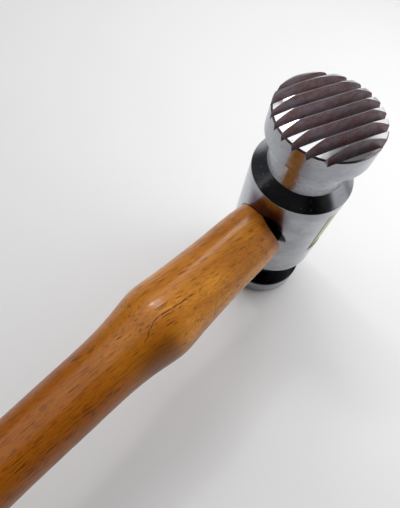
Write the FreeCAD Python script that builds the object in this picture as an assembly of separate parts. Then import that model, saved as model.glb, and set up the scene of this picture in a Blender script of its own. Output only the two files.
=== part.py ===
"""Small hammer with a turned steel head, a grooved crowned face, a plain face and a turned beech handle.

The origin is the centre of the plain face. +Z runs up through the head to the grooved face,
and +X runs along the handle to its butt. Lengths are in millimetres and angles in degrees.
"""

import math
import os

import FreeCAD
import Part

Vector = FreeCAD.Vector

# Head: one turned piece, the same below its middle as above it, apart from the two faces.
face_radius = 16.0
rim_height = 89.0
disc_thickness = 7.9
neck_radius = 12.4
neck_length = 11.8
shoulder_height = 4.1
edge_round = 0.35
face_bevel = 0.45

# Crown and grooves of the upper face.
crown_radius = 34.9
groove_count = 8
groove_pitch = 3.82
groove_depth_at_rim = 1.7
groove_half_angle = 24.5
groove_direction = -20.6

# Eye through the barrel, oval and wider at the far end so that the wedges lock the tenon.
eye_height = 45.8
eye_near_width = 12.0
eye_near_tall = 16.0
eye_far_width = 13.4
eye_far_tall = 18.0

# Flat milled on one cheek of the barrel.
cheek_flat_depth = 0.5
cheek_flat_bottom = 37.5
cheek_flat_top = 61.0

# Handle, a round section all along: distance from the head's axis and radius there.
handle_profile = [
    (12.0, 9.5),
    (20.5, 10.5),
    (34.0, 10.85),
    (46.0, 11.4),
    (56.0, 12.1),
    (63.0, 12.5),
    (69.5, 11.45),
    (77.0, 10.3),
    (92.0, 9.65),
    (124.0, 9.2),
    (160.0, 11.0),
    (190.0, 12.4),
    (212.0, 12.0),
]
handle_end = 223.5
butt_radius = 8.6
butt_roll = 2.4
scribe_gap = 0.1

# Upright hollow that leaves the handle's shoulder clear of the barrel on its +Y side.
relief_radius = 9.7
relief_x = 8.2
relief_y = 5.0

# Wedges in the tenon's far end.
wood_wedge_length = 22.0
wood_wedge_thickness = 2.6
steel_wedge_length = 13.0
steel_wedge_thickness = 2.2
steel_wedge_width = 8.5
steel_wedge_offset = 4.6
wedge_tip_thickness = 0.4
tenon_proud = 0.3
tenon_root = 3.0

# Cutters reach this far past the steel they cut, and the groove cutters stand this tall.
overshoot = 2.0
groove_cutter_height = 8.0

# Radii and heights that follow from the driving sizes.
barrel_radius = neck_radius + shoulder_height
neck_bottom = disc_thickness
shoulder_bottom = neck_bottom + neck_length
barrel_bottom = shoulder_bottom + shoulder_height
barrel_top = rim_height - barrel_bottom
shoulder_top = rim_height - shoulder_bottom
neck_top = rim_height - neck_bottom


def solid_of_revolution(edges, centre, axis):
    """The closed outline, turned through a full circle."""
    outline = Part.Face(Part.Wire(edges))
    return outline.revolve(centre, axis, 360)


def polyline(points):
    """Straight edges that join the points in turn."""
    return [Part.makeLine(a, b) for a, b in zip(points, points[1:])]


def rounded_path(corners):
    """Straight edges through the corners, each given as (point, rounding radius)."""
    edges = []
    start = corners[0][0]
    for (before, _), (corner, size), (after, _) in zip(corners, corners[1:], corners[2:]):
        if size == 0:
            edges.append(Part.makeLine(start, corner))
            start = corner
            continue
        back = (before - corner).normalize()
        ahead = (after - corner).normalize()
        half_turn = back.getAngle(ahead) / 2
        setback = size / math.tan(half_turn)
        arc_start = corner + back * setback
        arc_end = corner + ahead * setback
        inward = (back + ahead).normalize()
        arc_middle = corner + inward * (size / math.sin(half_turn) - size)
        edges.append(Part.makeLine(start, arc_start))
        edges.append(Part.Arc(arc_start, arc_middle, arc_end).toShape())
        start = arc_end
    edges.append(Part.makeLine(start, corners[-1][0]))
    return edges


def turned_head():
    """The head before its eye and grooves are cut."""
    crown_edge = face_radius - face_bevel
    crown_foot = rim_height + face_bevel
    crown_centre = crown_foot - math.sqrt(crown_radius**2 - crown_edge**2)
    apex = Vector(0, 0, crown_centre + crown_radius)
    half_edge = crown_edge / 2
    middle = Vector(half_edge, 0, crown_centre + math.sqrt(crown_radius**2 - half_edge**2))
    steps = [
        (0, 0, 0),
        (face_radius - face_bevel, 0, 0),
        (face_radius, face_bevel, 0),
        (face_radius, neck_bottom, edge_round),
        (neck_radius, neck_bottom, 0),
        (neck_radius, shoulder_bottom, 0),
        (barrel_radius, barrel_bottom, edge_round),
        (barrel_radius, barrel_top, edge_round),
        (neck_radius, shoulder_top, 0),
        (neck_radius, neck_top, 0),
        (face_radius, neck_top, edge_round),
        (face_radius, rim_height, 0),
        (crown_edge, crown_foot, 0),
    ]
    corners = [(Vector(x, 0, z), size) for x, z, size in steps]
    edges = rounded_path(corners)
    edges.append(Part.Arc(corners[-1][0], middle, apex).toShape())
    edges.append(Part.makeLine(apex, corners[0][0]))
    return solid_of_revolution(edges, Vector(0, 0, 0), Vector(0, 0, 1))


def groove_cutters():
    """Straight V cutters side by side, which meet in a sharp ridge between neighbouring grooves."""
    root = rim_height - groove_depth_at_rim
    half_width = groove_cutter_height * math.tan(math.radians(groove_half_angle))
    reach = face_radius + overshoot
    cutters = []
    for index in range(groove_count):
        offset = (index - (groove_count - 1) / 2) * groove_pitch
        corners = [
            Vector(-reach, offset, root),
            Vector(-reach, offset + half_width, root + groove_cutter_height),
            Vector(-reach, offset - half_width, root + groove_cutter_height),
        ]
        section = Part.Face(Part.makePolygon(corners + corners[:1]))
        cutter = section.extrude(Vector(2 * reach, 0, 0))
        cutter.rotate(Vector(0, 0, 0), Vector(0, 0, 1), groove_direction)
        cutters.append(cutter)
    return cutters


def oval(along, width, tall):
    """Oval wire across the handle's axis."""
    major = max(width, tall) / 2
    minor = min(width, tall) / 2
    ellipse = Part.Ellipse(Vector(0, 0, 0), major, minor)
    wire = Part.Wire(ellipse.toShape())
    wire.rotate(Vector(0, 0, 0), Vector(0, 1, 0), 90)
    wire.translate(Vector(along, 0, eye_height))
    return wire


def eye_shape(near, far):
    """The tapered oval between two stations along X, carrying the eye's taper past the barrel's walls."""
    taper_width = (eye_far_width - eye_near_width) / (2 * barrel_radius)
    taper_tall = (eye_far_tall - eye_near_tall) / (2 * barrel_radius)
    sections = []
    for along in (far, near):
        past = barrel_radius - along
        sections.append(oval(along, eye_near_width + past * taper_width, eye_near_tall + past * taper_tall))
    return Part.makeLoft(sections, True, True)


def cheek_flat_cutter():
    """Block that leaves the shallow flat on the barrel's +Y cheek."""
    wide = 2 * barrel_radius
    floor = Vector(-wide / 2, barrel_radius - cheek_flat_depth, cheek_flat_bottom)
    return Part.makeBox(wide, wide, cheek_flat_top - cheek_flat_bottom, floor)


def make_head():
    """Turned head with its grooves, eye and cheek flat."""
    body = turned_head()
    for cutter in groove_cutters():
        body = body.cut(cutter)
    past_wall = barrel_radius + overshoot
    body = body.cut(eye_shape(past_wall, -past_wall))
    return body.cut(cheek_flat_cutter())


def handle_side():
    """Smooth line along the handle's side, from inside the barrel to where the butt rounds over."""
    side = Part.BSplineCurve()
    side.interpolate([Vector(x, 0, r) for x, r in handle_profile])
    return side.toShape()


def turned_handle():
    """The handle as it comes off the lathe, before it is scribed to the barrel."""
    start_x, start_radius = handle_profile[0]
    last_x, last_radius = handle_profile[-1]
    side_start = Vector(start_x, 0, start_radius)
    side_end = Vector(last_x, 0, last_radius)
    butt_rim = Vector(handle_end, 0, butt_radius)
    butt_bulge = Vector(handle_end - butt_roll, 0, butt_radius + butt_roll)
    edges = [handle_side(), Part.Arc(side_end, butt_bulge, butt_rim).toShape()]
    edges += polyline([butt_rim, Vector(handle_end, 0, 0), Vector(start_x, 0, 0), side_start])
    body = solid_of_revolution(edges, Vector(0, 0, 0), Vector(1, 0, 0))
    body.translate(Vector(0, 0, eye_height))
    return body


def dressing_cylinder():
    """Round envelope, just outside the barrel, that the tenon and its wedges are dressed down to."""
    return Part.makeCylinder(barrel_radius + tenon_proud, rim_height)


def make_handle():
    """Turned handle, scribed to the barrel and relieved on one side, with an oval tenon through the eye."""
    scribe = Part.makeCylinder(barrel_radius + scribe_gap, rim_height)
    relief = Part.makeCylinder(relief_radius, rim_height, Vector(relief_x, relief_y, 0))
    grip = turned_handle().cut(scribe).cut(relief)
    tenon = eye_shape(0, -barrel_radius - overshoot).common(dressing_cylinder())
    root = eye_shape(barrel_radius + tenon_root, 0)
    return grip.fuse([tenon, root]).removeSplitter()


def wedge(length, thickness, width):
    """Wedge with its thick end at x = 0, tapering towards +X, its width along Y and thickness along Z."""
    half_thick = thickness / 2
    half_tip = wedge_tip_thickness / 2
    half_width = width / 2
    corners = [
        Vector(0, -half_width, -half_thick),
        Vector(length, -half_width, -half_tip),
        Vector(length, -half_width, half_tip),
        Vector(0, -half_width, half_thick),
    ]
    section = Part.Face(Part.makePolygon(corners + corners[:1]))
    return section.extrude(Vector(0, width, 0))


def make_wedges():
    """The wooden wedge that fills the tenon's upright kerf, and the two steel wedges driven across it."""
    far_end = -barrel_radius - tenon_proud
    envelope = dressing_cylinder()
    wood = wedge(wood_wedge_length, wood_wedge_thickness, eye_far_tall + 2 * overshoot)
    wood.rotate(Vector(0, 0, 0), Vector(1, 0, 0), 90)
    wood.translate(Vector(far_end, 0, eye_height))
    wood = wood.common(eye_shape(barrel_radius, far_end - overshoot)).common(envelope)
    steels = []
    for side in (-1, 1):
        steel = wedge(steel_wedge_length, steel_wedge_thickness, steel_wedge_width)
        steel.translate(Vector(far_end, 0, eye_height + side * steel_wedge_offset))
        steels.append(steel.common(envelope))
    return wood, steels


def export(name, shape):
    """Write one node."""
    shape.exportStep(os.path.join("parts", name + ".step"))


def main():
    os.makedirs("parts", exist_ok=True)
    head = make_head()
    wood, steels = make_wedges()
    handle = make_handle().cut(wood)
    for steel in steels:
        handle = handle.cut(steel)
        wood = wood.cut(steel)
    nodes = {
        "head": head,
        "handle": handle,
        "wood_wedge": wood,
        "steel_wedges": Part.makeCompound(steels),
    }
    for name, shape in nodes.items():
        export(name, shape)
        state = "valid" if shape.isValid() else "NOT VALID"
        print(name, len(shape.Solids), "solids", round(shape.Volume), "mm3", state)


main()
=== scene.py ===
"""Looks for a small hammer with a turned steel head, a grooved crowned face and a beech handle.

Everything is in metres, in the part's own frame: the plain face's centre is the origin, +Z runs up
through the head to the grooved face, and +X runs along the handle to its butt.
"""
import math

import bpy
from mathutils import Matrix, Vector


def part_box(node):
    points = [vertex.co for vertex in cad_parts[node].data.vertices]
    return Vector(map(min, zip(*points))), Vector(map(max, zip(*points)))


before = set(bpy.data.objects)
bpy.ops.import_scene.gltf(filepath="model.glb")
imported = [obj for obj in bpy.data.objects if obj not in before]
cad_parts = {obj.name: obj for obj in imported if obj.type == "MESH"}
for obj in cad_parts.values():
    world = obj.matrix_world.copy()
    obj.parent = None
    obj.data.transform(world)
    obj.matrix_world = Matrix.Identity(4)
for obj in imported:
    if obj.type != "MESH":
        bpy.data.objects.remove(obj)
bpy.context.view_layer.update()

MM = 0.001

# Sizes read from the frame.
head_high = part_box("head")[1]
handle_low, handle_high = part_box("handle")
barrel_radius = head_high.y
handle_height = (handle_low.z + handle_high.z) / 2

# Grooved face, as milled.
rim_height = 89.0 * MM
groove_root = rim_height - 1.7 * MM
groove_pitch = 3.82 * MM
groove_half_angle = math.radians(24.5)
groove_direction = math.radians(-20.6)
crest_height = groove_root + groove_pitch / 2 / math.tan(groove_half_angle)

# Flat on the +Y cheek of the barrel.
cheek_flat_depth = 0.5 * MM
cheek_flat_bottom = 37.5 * MM
cheek_flat_top = 61.0 * MM

# Slant of the beech's grain: its sideways drift per unit of length at x = 0, which eases to none
# by the x in the second value.
grain_slant = 0.30
grain_straight_from = 120 * MM

# Table top.
floor_half_width = 1.5
floor_gap = 0.02 * MM

# Camera: angles in degrees, lens and sensor in millimetres.
aim_point = Vector((36.7 * MM, -7.1 * MM, handle_height))
camera_azimuth = 33.9
camera_elevation = 63.7
camera_distance = 138.7 * MM
camera_roll = math.radians(11.66)
camera_lens = 29.92
camera_sensor = 36.0
camera_clip_start = 0.005


def mm(*sizes):
    """Millimetres as metres."""
    return [size * MM for size in sizes]


def direction(azimuth, elevation):
    """Unit vector for an azimuth from +X towards +Y and an elevation, both in degrees."""
    a = math.radians(azimuth)
    e = math.radians(elevation)
    return Vector((math.cos(e) * math.cos(a), math.cos(e) * math.sin(a), math.sin(e)))


class Graph:
    """Shorthand for wiring one node tree."""

    def __init__(self, tree):
        self.tree = tree

    def node(self, kind, **settings):
        made = self.tree.nodes.new(kind)
        for name, value in settings.items():
            setattr(made, name, value)
        return made

    def plug(self, socket, value):
        """Links a socket to an output, or sets a plain value on it."""
        if isinstance(value, bpy.types.NodeSocket):
            self.tree.links.new(value, socket)
        elif isinstance(value, (tuple, list)) and len(value) == 3 and socket.type == "RGBA":
            socket.default_value = (*value, 1)
        else:
            socket.default_value = value

    def math(self, operation, a, b=0.0):
        made = self.node("ShaderNodeMath", operation=operation)
        self.plug(made.inputs[0], a)
        self.plug(made.inputs[1], b)
        return made.outputs[0]

    def add(self, a, b):
        return self.math("ADD", a, b)

    def times(self, a, b):
        return self.math("MULTIPLY", a, b)

    def length(self, a, b):
        """Length of the hypotenuse over a and b."""
        return self.math("SQRT", self.add(self.times(a, a), self.times(b, b)))

    def step(self, value, low, high, to_low=0.0, to_high=1.0):
        """Smooth step from to_low to to_high as value goes from low to high."""
        made = self.node("ShaderNodeMapRange", interpolation_type="SMOOTHSTEP")
        for socket, number in zip(made.inputs, (value, low, high, to_low, to_high)):
            self.plug(socket, number)
        return made.outputs[0]

    def band(self, value, start, full, fading, end):
        """1 between full and fading, with a smooth fall to 0 at start and at end."""
        return self.times(self.step(value, start, full), self.step(value, end, fading))

    def split(self, vector):
        made = self.node("ShaderNodeSeparateXYZ")
        self.plug(made.inputs[0], vector)
        return made.outputs

    def join(self, x, y, z):
        made = self.node("ShaderNodeCombineXYZ")
        for socket, value in zip(made.inputs, (x, y, z)):
            self.plug(socket, value)
        return made.outputs[0]

    def place(self):
        return self.node("ShaderNodeTexCoord").outputs["Object"]

    def normal(self):
        return self.node("ShaderNodeTexCoord").outputs["Normal"]

    def dot(self, vector, fixed):
        made = self.node("ShaderNodeVectorMath", operation="DOT_PRODUCT")
        self.plug(made.inputs[0], vector)
        made.inputs[1].default_value = fixed
        return made.outputs["Value"]

    def stretched(self, vector, sizes):
        """The vector in units of sizes, so that a texture of scale 1 has features of those sizes."""
        made = self.node("ShaderNodeVectorMath", operation="MULTIPLY")
        self.plug(made.inputs[0], vector)
        made.inputs[1].default_value = [1 / size for size in sizes]
        return made.outputs[0]

    def noise(self, vector, sizes, detail=2.0, roughness=0.5):
        """Cloudy noise from 0 to 1, with features of the given sizes."""
        made = self.node("ShaderNodeTexNoise")
        self.plug(made.inputs["Vector"], self.stretched(vector, sizes))
        made.inputs["Scale"].default_value = 1
        made.inputs["Detail"].default_value = detail
        made.inputs["Roughness"].default_value = roughness
        return made.outputs["Fac"]

    def cells(self, vector, sizes):
        """Distance to the nearest scattered point, and a random colour for that point."""
        made = self.node("ShaderNodeTexVoronoi")
        self.plug(made.inputs["Vector"], self.stretched(vector, sizes))
        made.inputs["Scale"].default_value = 1
        return made.outputs["Distance"], made.outputs["Color"]

    def blend(self, factor, a, b, how="MIX"):
        """Colour between a and b."""
        made = self.node("ShaderNodeMix", data_type="RGBA", blend_type=how)
        return self.mixed(made, factor, a, b)

    def mix(self, factor, a, b):
        """Number between a and b."""
        return self.mixed(self.node("ShaderNodeMix"), factor, a, b)

    def mixed(self, made, factor, a, b):
        """Feeds a mix node, and gives its result."""
        self.plug(made.inputs["Factor"], factor)
        self.plug(made.inputs["A"], a)
        self.plug(made.inputs["B"], b)
        return made.outputs["Result"]

    def bump(self, height, distance, below=None):
        """Normal for a relief of the given depth, on top of the relief below."""
        made = self.node("ShaderNodeBump")
        self.plug(made.inputs["Height"], height)
        made.inputs["Distance"].default_value = distance
        if below is not None:
            self.plug(made.inputs["Normal"], below)
        return made.outputs[0]


def new_material(name):
    """A material with one Principled shader, and the graph to feed it with."""
    made = bpy.data.materials.new(name)
    made.use_nodes = True
    shader = made.node_tree.nodes["Principled BSDF"]
    return made, Graph(made.node_tree), shader


def round_handle(g, y, z):
    """Distance from the handle's axis, and height above it."""
    height = g.add(z, -handle_height)
    return g.length(y, height), height


def groove_wall(g, z, facing_up):
    """1 on the walls of the milled grooves, 0 elsewhere on the head."""
    above_root = g.step(z, groove_root - 0.05 * MM, groove_root + 0.05 * MM)
    tilted = g.step(facing_up, 0.80, 0.70)
    upward = g.step(facing_up, 0.2, 0.3)
    return g.times(above_root, g.times(tilted, upward))


def cheek_flat(g, x, y, z):
    """1 on the shallow flat on the +Y cheek, and 1 on a dark strip down its +X side."""
    soft = 0.2 * MM
    floor = barrel_radius - cheek_flat_depth
    bottom = cheek_flat_bottom
    top = cheek_flat_top
    inside = g.band(z, bottom - soft, bottom + soft, top - soft, top + soft)
    face = g.times(g.step(y, floor - 0.06 * MM, floor - 0.03 * MM), inside)
    strip = g.times(g.band(x, *mm(1.0, 1.8, 4.1, 4.4)), inside)
    return face, g.times(strip, g.step(y, floor - 0.20 * MM, floor - 0.10 * MM))


def handle_reflection_shade(g, x, y, z):
    """1 where painted shade darkens the barrel and its upper cone round the top of the handle, over the
    handle's reflection.
    """
    from_axis, height = round_handle(g, y, z)
    near = g.times(g.step(from_axis, *mm(21, 14)), g.step(x, *mm(3, 8)))
    above = g.times(g.step(height, *mm(6, 9)), g.step(g.math("ABSOLUTE", y), *mm(9, 5)))
    return g.times(near, above)


def slot_shade(g, x, y, z):
    """1 on the barrel inside the upper half of the open slot at the handle's shoulder, where shade is
    painted.
    """
    from_axis, height = round_handle(g, y, z)
    inside = g.times(g.step(from_axis, *mm(10.4, 9.9)), g.step(x, *mm(2, 4)))
    return g.times(inside, g.step(height, *mm(0.5, 2.5)))


def pits(g, place):
    """1 in small pits, which only about a quarter of the places have."""
    distance, kind = g.cells(place, mm(0.9, 0.9, 0.9))
    few = g.step(g.split(kind)[0], 0.72, 0.76)
    return g.times(few, g.step(distance, 0.20, 0.08))


def turned_tone(g, x, y, z, smudges):
    """Colour of turned steel: smudged, and brushed round the head."""
    dull = (0.34, 0.35, 0.385)
    clean = (0.47, 0.48, 0.50)
    brush_line = (0.30, 0.31, 0.33)
    around = g.math("ARCTAN2", y, x)
    brushed = g.noise(g.join(around, 0.0, z), (0.5, 1, 0.35 * MM), detail=3)
    tone = g.blend(g.step(smudges, 0.3, 0.7), dull, clean)
    return g.blend(g.step(brushed, 0.35, 0.65, 0.0, 0.3), tone, brush_line)


def cutter_marks(g, place, z):
    """Fine lines that the cutter left along the grooves."""
    along = g.dot(place, (math.cos(groove_direction), math.sin(groove_direction), 0))
    across = g.dot(place, (-math.sin(groove_direction), math.cos(groove_direction), 0))
    return g.noise(g.join(along, across, z), mm(5, 0.22, 0.22), detail=3, roughness=0.6)


def milled_tone(g, place, z, marks):
    """Colour of the groove walls: reddish and grey patches, dark grains, and a painted highlight along the
    crests.
    """
    reddish = (0.42, 0.265, 0.25)
    grey = (0.45, 0.45, 0.50)
    mark_line = (0.28, 0.24, 0.24)
    dark_grain = (0.20, 0.17, 0.18)
    crest_highlight = (0.90, 0.91, 0.95)
    patches = g.noise(place, mm(3.4, 1.8, 1.8), detail=4, roughness=0.65)
    grains = g.noise(place, mm(0.35, 0.35, 0.35), detail=2)
    crest = g.step(z, crest_height - 0.30 * MM, crest_height - 0.12 * MM)
    tone = g.blend(g.step(patches, 0.36, 0.64), reddish, grey)
    tone = g.blend(g.step(marks, 0.35, 0.65, 0.0, 0.30), tone, mark_line)
    tone = g.blend(g.step(grains, 0.45, 0.70, 0.0, 0.55), tone, dark_grain)
    # Painted highlight: a bright line along each groove crest.
    return g.blend(g.times(crest, 0.7), tone, crest_highlight)


def steel_finish():
    """Turned and polished steel with milled groove walls and a tan flat; the groove crests carry a painted
    highlight, and the lower neck, the barrel round the top of the handle and the slot carry painted shade.
    """
    polished_crown = (0.82, 0.82, 0.84)
    pit_black = (0.07, 0.06, 0.07)
    neck_shade_black = (0.034, 0.033, 0.038)
    reflection_shade_tint = (0.30, 0.19, 0.28)
    slot_shade_black = (0.020, 0.014, 0.018)
    flat_tan = (0.66, 0.60, 0.32)
    flat_edge_brown = (0.07, 0.055, 0.035)

    made, g, shader = new_material("head_steel")
    place = g.place()
    x, y, z = g.split(place)
    facing_up = g.split(g.normal())[2]
    groove = groove_wall(g, z, facing_up)
    flat, flat_edge = cheek_flat(g, x, y, z)
    crown = g.times(g.step(z, rim_height, rim_height + 0.3 * MM), g.step(facing_up, 0.80, 0.86))
    # Band of the lower neck that gets painted shade.
    lower_neck_shade = g.band(z, *mm(6.5, 7.6, 22, 24))
    smudges = g.noise(place, mm(8, 8, 5), detail=4, roughness=0.6)
    marks = cutter_marks(g, place, z)
    pitted = pits(g, place)

    colour = g.blend(crown, turned_tone(g, x, y, z, smudges), polished_crown)
    colour = g.blend(groove, colour, milled_tone(g, place, z, marks))
    colour = g.blend(g.times(pitted, 0.75), colour, pit_black)
    # Painted shade: the lower neck is darkened near black.
    colour = g.blend(g.times(lower_neck_shade, 0.85), colour, neck_shade_black)
    # Painted shade: a purplish brown that darkens the handle's reflection in the barrel and cone.
    colour = g.blend(handle_reflection_shade(g, x, y, z), colour, reflection_shade_tint, "MULTIPLY")
    # Painted shade inside the open slot, on the barrel.
    colour = g.blend(slot_shade(g, x, y, z), colour, slot_shade_black)
    colour = g.blend(flat, colour, flat_tan)
    colour = g.blend(g.times(flat_edge, 0.95), colour, flat_edge_brown)
    g.plug(shader.inputs["Base Color"], colour)
    g.plug(shader.inputs["Metallic"], g.add(1.0, g.times(flat, -0.7)))

    upper_wall = g.times(g.step(z, *mm(68, 70)), g.step(facing_up, 0.5, 0.3))
    rough = g.step(smudges, 0.3, 0.7, 0.13, 0.22)
    for where, extra in ((groove, 0.12), (upper_wall, 0.08), (flat, 0.25), (crown, -0.05)):
        rough = g.add(rough, g.times(where, extra))
    g.plug(shader.inputs["Roughness"], rough)

    lathe = g.noise(g.join(g.length(x, y), 0.0, z), (0.10 * MM, 1, 0.10 * MM), detail=3, roughness=0.65)
    relief = g.bump(lathe, 0.003 * MM)
    relief = g.bump(g.times(g.add(marks, -0.5), groove), 0.035 * MM, below=relief)
    relief = g.bump(g.times(pitted, -1.0), 0.04 * MM, below=relief)
    g.plug(shader.inputs["Normal"], relief)
    return made


def beech_point(g):
    """Place in the wood, from the handle's axis, with the slant taken out so that fibres run along X."""
    x, y, z = g.split(g.place())
    run = g.math("MINIMUM", x, grain_straight_from)
    easing = g.times(g.times(run, run), -grain_slant / (2 * grain_straight_from))
    drift = g.add(g.times(run, grain_slant), easing)
    return g.join(x, g.add(y, drift), g.add(z, -handle_height))


def pore_dashes(g, point, length, width, share, crowding):
    """Short dark pores along the grain: 1 inside a dash, 0 outside, kept in a share of the places."""
    distance, kind = g.cells(point, (length * 1.9, width * 1.9, width * 2.4))
    keep = g.step(g.split(kind)[0], 1 - share - 0.05, 1 - share + 0.05)
    body = g.step(distance, 0.31, 0.23)
    return g.times(g.times(keep, body), crowding)


def wood_flecks(g, point):
    """1 in a few broad flecks."""
    distance, kind = g.cells(point, mm(7, 4, 4))
    few = g.step(g.split(kind)[1], 0.80, 0.82)
    return g.times(few, g.step(distance, 0.22, 0.10))


def ring_line(g):
    """The one dark growth ring that crosses the swell as a broken, bent line."""
    lean = math.radians(42)
    ring_radius = 10.1 * MM
    dip_depth = 0.6 * MM
    dip_centre = 65.5 * MM
    dip_width = 3.5 * MM
    wander_depth = 0.5 * MM
    x, y, z = g.split(g.place())
    height = g.add(z, -handle_height)
    ring_depth = g.add(g.times(y, math.cos(lean)), g.times(height, math.sin(lean)))
    from_dip = g.times(g.add(x, -dip_centre), 1 / dip_width)
    dip = g.math("POWER", math.e, g.times(g.times(from_dip, from_dip), -1.0))
    wander = g.noise(g.join(x, 0.0, 0.0), (2.5 * MM, 1, 1), detail=2)
    ring = g.add(g.times(dip, -dip_depth), ring_radius)
    ring = g.add(ring, g.times(g.add(wander, -0.5), wander_depth))
    away = g.math("ABSOLUTE", g.add(ring_depth, g.times(ring, -1.0)))
    line = g.times(g.step(away, *mm(0.17, 0.05)), g.band(x, *mm(49, 53, 69.5, 72)))
    gaps = g.noise(g.join(x, y, 0.0), (1.6 * MM, 1.6 * MM, 1), detail=1)
    near_top = g.step(y, *mm(7, 5.5))
    return g.times(line, g.times(near_top, g.step(gaps, 0.30, 0.50, 0.25, 1.0)))


def hollow_shade(g):
    """1 in a patch of painted shade on the +Y side, where the swell falls away to the waist."""
    x, y, _ = g.split(g.place())
    return g.times(g.band(x, *mm(60, 67, 72, 82)), g.step(y, *mm(4, 9)))


def shoulder_shade(g):
    """Painted shade: 1 inside the open slot between shoulder and barrel, and 1 on the rim of wood round it.
    """
    rim_centre_x = 6 * MM
    rim_centre_y = 5.5 * MM
    x, y, z = g.split(g.place())
    from_axis, _ = round_handle(g, y, z)
    grip_side = g.step(x, *mm(8, 10))
    in_slot = g.times(g.step(x, *mm(19.5, 18.5)), g.step(from_axis, *mm(9.9, 9.5)))
    from_centre = g.length(g.add(x, -rim_centre_x), g.add(y, -rim_centre_y))
    on_rim = g.times(g.step(from_centre, *mm(16, 12)), g.step(y, *mm(-4, 3)))
    return g.times(in_slot, grip_side), g.times(on_rim, grip_side)


def beech_tone(g, point, fibres, bands):
    """Colour of the plain wood: blotches, bands and fibres, redder at the head, and darker past the swell as
    painted shade.
    """
    deep_honey = (0.47, 0.160, 0.007)
    light_honey = (0.68, 0.270, 0.022)
    band_brown = (0.36, 0.110, 0.012)
    fibre_brown = (0.24, 0.065, 0.008)
    streak_brown = (0.24, 0.062, 0.006)
    head_end_red = (0.42, 0.115, 0.012)
    waist_shade_brown = (0.285, 0.074, 0.003)
    waist_fibre = (0.19, 0.045, 0.001)
    x, y, _ = g.split(point)
    blotches = g.noise(point, mm(24, 7, 7), detail=3)
    streak_noise = g.noise(point, mm(7, 0.55, 0.55), detail=2)
    streaks = g.times(g.step(streak_noise, 0.52, 0.62), g.step(y, *mm(9, -2)))
    waist_fibres = g.times(g.step(fibres, 0.42, 0.66), g.step(x, *mm(66, 92)))

    tone = g.blend(g.step(blotches, 0.32, 0.68), deep_honey, light_honey)
    tone = g.blend(g.step(bands, 0.35, 0.65, 0.0, 0.45), tone, band_brown)
    tone = g.blend(g.step(fibres, 0.42, 0.72, 0.0, 0.6), tone, fibre_brown)
    tone = g.blend(g.times(streaks, 0.55), tone, streak_brown)
    tone = g.blend(g.step(x, *mm(36, 18), 0.0, 0.3), tone, head_end_red)
    # Painted shade: the wood past the swell is darkened.
    tone = g.blend(g.step(x, *mm(60, 90), 0.0, 0.85), tone, waist_shade_brown)
    return g.blend(g.times(waist_fibres, 0.5), tone, waist_fibre)


def beech_finish():
    """Oiled beech: warm fibres, short dark pores, a few flecks, one dark ring line, and painted shade below
    the swell, round the shoulder and in the slot.
    """
    hollow_shade_brown = (0.13, 0.028, 0.001)
    short_pore = (0.16, 0.036, 0.003)
    waist_pore = (0.11, 0.022, 0.001)
    long_pore = (0.085, 0.016, 0.001)
    fleck_brown = (0.12, 0.035, 0.008)
    ring_brown = (0.10, 0.022, 0.004)
    rim_shade_red = (0.17, 0.032, 0.008)
    slot_shade_black = (0.006, 0.003, 0.005)
    end_grain_shade = (0.62, 0.50, 0.42)

    made, g, shader = new_material("handle_beech")
    point = beech_point(g)
    bands = g.noise(point, mm(60, 2.2, 2.2), detail=3, roughness=0.6)
    fibres = g.noise(point, mm(9, 0.34, 0.34), detail=3, roughness=0.65)
    crowding = g.step(bands, 0.40, 0.60, 0.5, 1.0)
    past_swell = g.step(g.split(point)[0], *mm(66, 92))
    upside_down = g.stretched(point, (1.0, 1.0, -1.0))
    mirrored = g.stretched(point, (1.0, -1.0, 1.0))
    long_dashes = pore_dashes(g, point, 3.3 * MM, 0.22 * MM, 0.40, crowding)
    short_dashes = pore_dashes(g, upside_down, 2.2 * MM, 0.15 * MM, 0.5, crowding)
    waist_dashes = pore_dashes(g, mirrored, 1.9 * MM, 0.15 * MM, 0.6, past_swell)
    line = ring_line(g)
    slot, rim = shoulder_shade(g)
    end_grain = g.step(g.math("ABSOLUTE", g.split(g.normal())[0]), 0.75, 0.95)

    colour = beech_tone(g, point, fibres, bands)
    # Painted shade where the swell falls away on the +Y side.
    colour = g.blend(g.times(hollow_shade(g), 0.75), colour, hollow_shade_brown)
    colour = g.blend(g.times(short_dashes, 0.9), colour, short_pore)
    colour = g.blend(g.times(waist_dashes, 0.9), colour, waist_pore)
    colour = g.blend(long_dashes, colour, long_pore)
    colour = g.blend(g.times(wood_flecks(g, point), 0.5), colour, fleck_brown)
    colour = g.blend(g.times(line, 0.9), colour, ring_brown)
    # Painted shade on the rim of wood at the shoulder, on the +Y side.
    colour = g.blend(g.times(rim, 0.60), colour, rim_shade_red)
    # Painted shade inside the open slot, on the wood.
    colour = g.blend(slot, colour, slot_shade_black)
    colour = g.blend(g.times(end_grain, 0.75), colour, end_grain_shade, "MULTIPLY")
    g.plug(shader.inputs["Base Color"], colour)
    g.plug(shader.inputs["Roughness"], g.step(fibres, 0.3, 0.7, 0.36, 0.48))
    shader.inputs["Specular IOR Level"].default_value = 0.35
    shader.inputs["Specular Tint"].default_value = (1.0, 0.72, 0.40, 1.0)
    shader.inputs["Coat Weight"].default_value = 0.4
    shader.inputs["Coat Roughness"].default_value = 0.17
    relief = g.bump(fibres, 0.03 * MM)
    relief = g.bump(g.times(g.add(long_dashes, line), -1.0), 0.08 * MM, below=relief)
    g.plug(shader.inputs["Normal"], relief)
    return made


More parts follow.
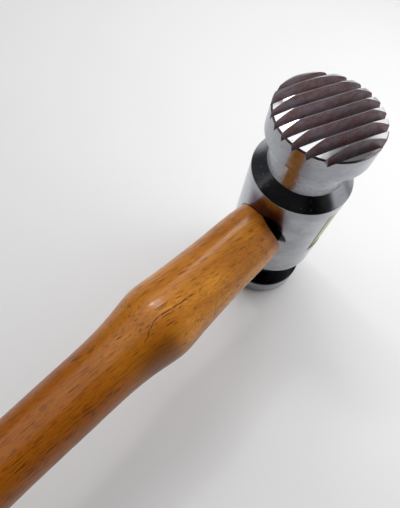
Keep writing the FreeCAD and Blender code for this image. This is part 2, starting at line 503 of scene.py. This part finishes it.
def wedge_wood_finish():
    """Hardwood wedge, seen end-on."""
    dark = (0.30, 0.12, 0.035)
    light = (0.50, 0.24, 0.085)
    made, g, shader = new_material("wedge_wood")
    grain = g.noise(g.place(), mm(8, 0.5, 0.5), detail=4)
    g.plug(shader.inputs["Base Color"], g.blend(g.step(grain, 0.3, 0.7), dark, light))
    g.plug(shader.inputs["Roughness"], g.step(grain, 0.3, 0.7, 0.5, 0.65))
    g.plug(shader.inputs["Normal"], g.bump(grain, 0.08 * MM))
    return made


def wedge_steel_finish():
    """Dull mild steel, finely scoured along the wedge's width."""
    dark = (0.33, 0.325, 0.32)
    light = (0.40, 0.395, 0.39)
    made, g, shader = new_material("wedge_steel")
    scouring = g.noise(g.place(), mm(2, 12, 0.15), detail=3)
    g.plug(shader.inputs["Base Color"], g.blend(g.step(scouring, 0.3, 0.7), dark, light))
    shader.inputs["Metallic"].default_value = 1.0
    g.plug(shader.inputs["Roughness"], g.step(scouring, 0.3, 0.7, 0.38, 0.48))
    g.plug(shader.inputs["Normal"], g.bump(scouring, 0.01 * MM))
    return made


def dress(node, finish):
    """Gives a CAD node its finish."""
    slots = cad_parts[node].material_slots
    if not slots:
        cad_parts[node].data.materials.append(finish)
    for slot in slots:
        slot.material = finish


def make_floor():
    """Plain pale table top."""
    mesh = bpy.data.meshes.new("floor")
    half = floor_half_width
    corners = [(-half, -half, 0), (half, -half, 0), (half, half, 0), (-half, half, 0)]
    mesh.from_pydata(corners, [], [(0, 1, 2, 3)])
    floor = bpy.data.objects.new("floor", mesh)
    floor.location.z = -floor_gap
    bpy.context.scene.collection.objects.link(floor)
    made, g, shader = new_material("floor_paint")
    tone = g.noise(g.place(), (0.09, 0.09, 0.09), detail=2)
    g.plug(shader.inputs["Base Color"], g.blend(tone, (0.76, 0.76, 0.77), (0.80, 0.80, 0.80)))
    shader.inputs["Roughness"].default_value = 0.6
    mesh.materials.append(made)


def make_surround():
    """Neutral studio that the steel and varnish reflect: a soft overhead panel, pale cards and dark cards."""
    world = bpy.data.worlds.new("surround")
    bpy.context.scene.world = world
    world.use_nodes = True
    g = Graph(world.node_tree)
    background = world.node_tree.nodes["Background"]
    look = g.node("ShaderNodeTexCoord").outputs["Generated"]
    x, y, height = g.split(look)
    level = g.step(height, 0.0, 0.5, 0.17, 0.15)
    # Each card: azimuth and elevation of its middle, radius where it ends, radius where it is
    # full, all in degrees, and its brightness.
    cards = [
        (175, 4, 44, 22, 1.0),
        (130, 14, 26, 12, 0.77),
        (-150, 38, 24, 10, 0.26),
        (96, 25, 22, 8, 0.018),
        (38, 35, 46, 38, 0.015),
        (74, 35, 20, 6, 0.005),
        (-18, 34, 27, 20, 0.015),
        (-77, 12, 34, 16, 0.05),
    ]
    for azimuth, elevation, outer, inner, brightness in cards:
        nearness = g.dot(look, direction(azimuth, elevation))
        inside = g.step(nearness, math.cos(math.radians(outer)), math.cos(math.radians(inner)))
        level = g.mix(inside, level, brightness)
    # The overhead panel's edges are parts of the unit vector that points at them.
    panel = g.times(g.band(x, -0.42, -0.28, 0.34, 0.42), g.band(y, -0.86, -0.78, 0.12, 0.30))
    level = g.mix(g.times(panel, g.step(height, 0.48, 0.56)), level, 1.15)
    seen_directly = g.node("ShaderNodeLightPath").outputs["Is Camera Ray"]
    level = g.mix(seen_directly, level, 0.75)
    g.plug(background.inputs["Color"], g.join(level, level, level))


def make_lamp(name, azimuth, elevation, distance, size, power, glossy=True):
    """Soft round lamp that faces the head from the given direction."""
    light = bpy.data.lights.new(name, "AREA")
    light.shape = "DISK"
    light.size = size
    light.energy = power
    lamp = bpy.data.objects.new(name, light)
    target = Vector((0, 0, handle_height))
    lamp.location = target + direction(azimuth, elevation) * distance
    lamp.rotation_euler = (target - lamp.location).to_track_quat("-Z", "Y").to_euler()
    lamp.visible_camera = False
    lamp.visible_glossy = glossy
    bpy.context.scene.collection.objects.link(lamp)


def make_lamps():
    """Key light with a small glint, a window, and two fills that leave no reflection."""
    make_lamp("key", azimuth=-110, elevation=61, distance=0.7, size=0.19, power=0.66)
    make_lamp("glint", azimuth=-96, elevation=56, distance=0.7, size=0.065, power=0.42)
    make_lamp("window", azimuth=-130, elevation=40, distance=0.6, size=0.2, power=0.52)
    make_lamp("fill", azimuth=172, elevation=50, distance=0.26, size=0.25, power=0.38, glossy=False)
    make_lamp("side", azimuth=128, elevation=45, distance=0.25, size=0.2, power=0.15, glossy=False)


def make_camera():
    """Close view from above and behind the handle, rolled a little."""
    data = bpy.data.cameras.new("camera")
    data.lens = camera_lens
    data.sensor_width = camera_sensor
    data.clip_start = camera_clip_start
    camera = bpy.data.objects.new("camera", data)
    outward = direction(camera_azimuth, camera_elevation)
    camera.location = aim_point + outward * camera_distance
    turn = (-outward).to_track_quat("-Z", "Y").to_matrix()
    level = turn.col[0].copy()
    up = turn.col[1].copy()
    turn.col[0] = level * math.cos(camera_roll) + up * math.sin(camera_roll)
    turn.col[1] = up * math.cos(camera_roll) - level * math.sin(camera_roll)
    camera.rotation_euler = turn.to_euler()
    bpy.context.scene.collection.objects.link(camera)
    bpy.context.scene.camera = camera


dress("head", steel_finish())
dress("handle", beech_finish())
dress("wood_wedge", wedge_wood_finish())
dress("steel_wedges", wedge_steel_finish())
make_floor()
make_surround()
make_lamps()
make_camera()
bpy.context.scene.view_settings.view_transform = "Standard"
